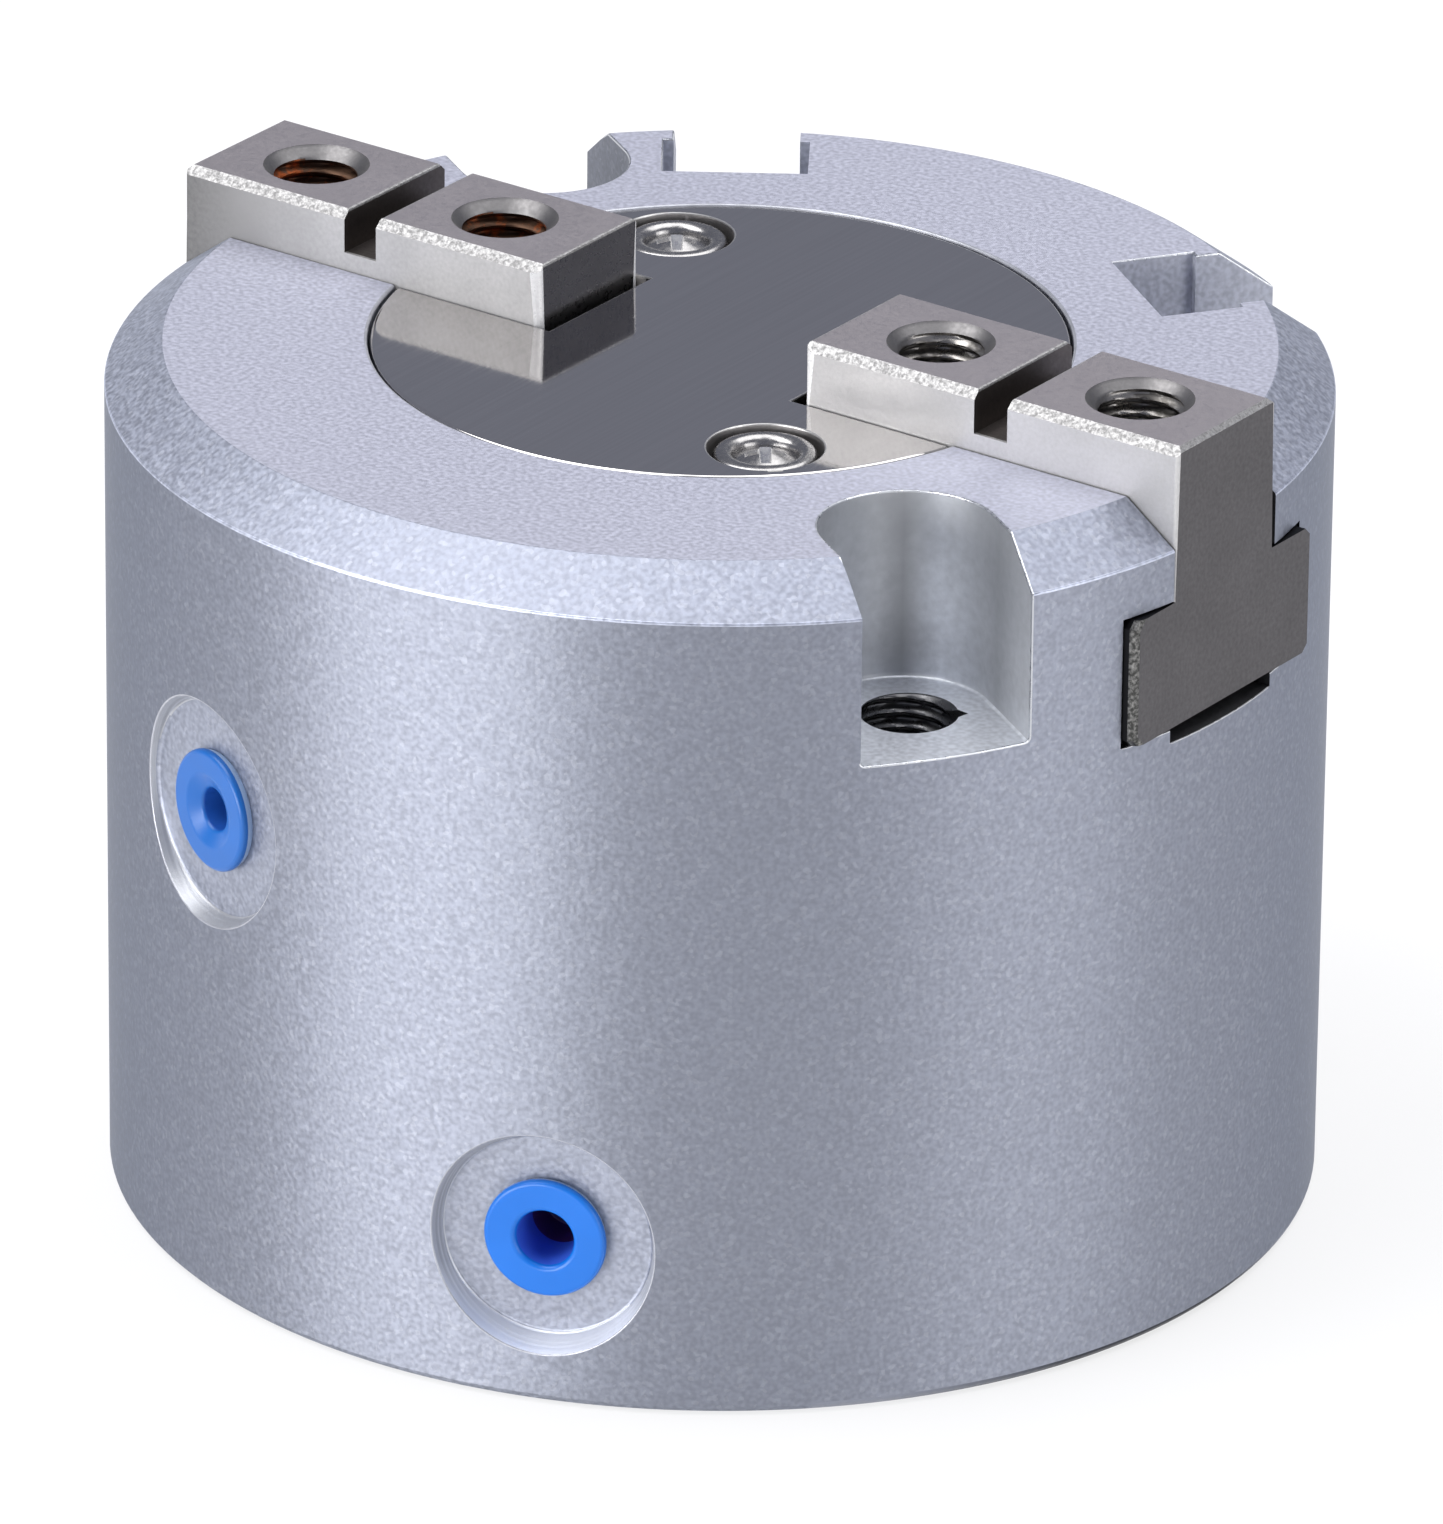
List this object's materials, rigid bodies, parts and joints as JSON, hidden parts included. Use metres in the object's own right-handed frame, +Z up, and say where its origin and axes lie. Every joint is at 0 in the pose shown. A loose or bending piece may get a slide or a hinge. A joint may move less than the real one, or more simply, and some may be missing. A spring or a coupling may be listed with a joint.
{
  "type": "pneumatic parallel gripper",
  "caption": "Round-bodied double-acting pneumatic gripper whose wedge cam slides T-section fingers apart and together.",
  "frame": {"origin": "centre of the mounting face at the foot of the body, on the body's axis", "axes": "+Z up the body's axis towards the fingers; the fingers slide along X; the air ports are on the -Y side"},
  "size_m": [0.062, 0.062, 0.0482],
  "materials": {
    "anodised_aluminium": "bead-blasted and clear anodised",
    "plate_steel": "polished, with faint grinding lines",
    "screw_steel": "bright",
    "finger_steel": "ground, blasted at the edges",
    "cam_steel": "ground",
    "spring_steel": "phosphated",
    "turned_aluminium": "turned",
    "black_rubber": "matte",
    "wear_plastic": "matte",
    "magnet_rubber": "matte",
    "blue_plastic": "moulded"
  },
  "bodies": {
    "housing": {"housing": "anodised_aluminium", "end_plate": "plate_steel", "end_plate_screws": "screw_steel", "rod_seal": "black_rubber", "bottom_cap": "turned_aluminium", "cap_o_ring": "black_rubber", "retaining_ring": "spring_steel", "upper_port_plug": "blue_plastic", "lower_port_plug": "blue_plastic"},
    "piston": {"piston": "turned_aluminium", "piston_seal": "black_rubber", "wear_ring": "wear_plastic", "magnet_strip": "magnet_rubber", "lower_bumper": "black_rubber", "upper_bumper": "black_rubber", "cam": "cam_steel", "cam_bolt": "screw_steel", "cam_bolt_washer": "spring_steel"},
    "left_finger": {"left_finger": "finger_steel"},
    "right_finger": {"right_finger": "finger_steel"}
  },
  "joints": [
    {"name": "piston_slide", "type": "slide", "parent": "housing", "child": "piston", "axis": [0, 0, 1], "range_m": [0, 0.004]},
    {"name": "right_finger_slide", "type": "slide", "parent": "housing", "child": "right_finger", "axis": [1, 0, 0], "range_m": [0, 0.004]},
    {"name": "left_finger_slide", "type": "slide", "parent": "housing", "child": "left_finger", "axis": [-1, 0, 0], "range_m": [0, 0.004]}
  ],
  "couplings": [
    {"joint": "right_finger_slide", "follows": "piston_slide", "ratio": 1},
    {"joint": "left_finger_slide", "follows": "piston_slide", "ratio": 1}
  ]
}
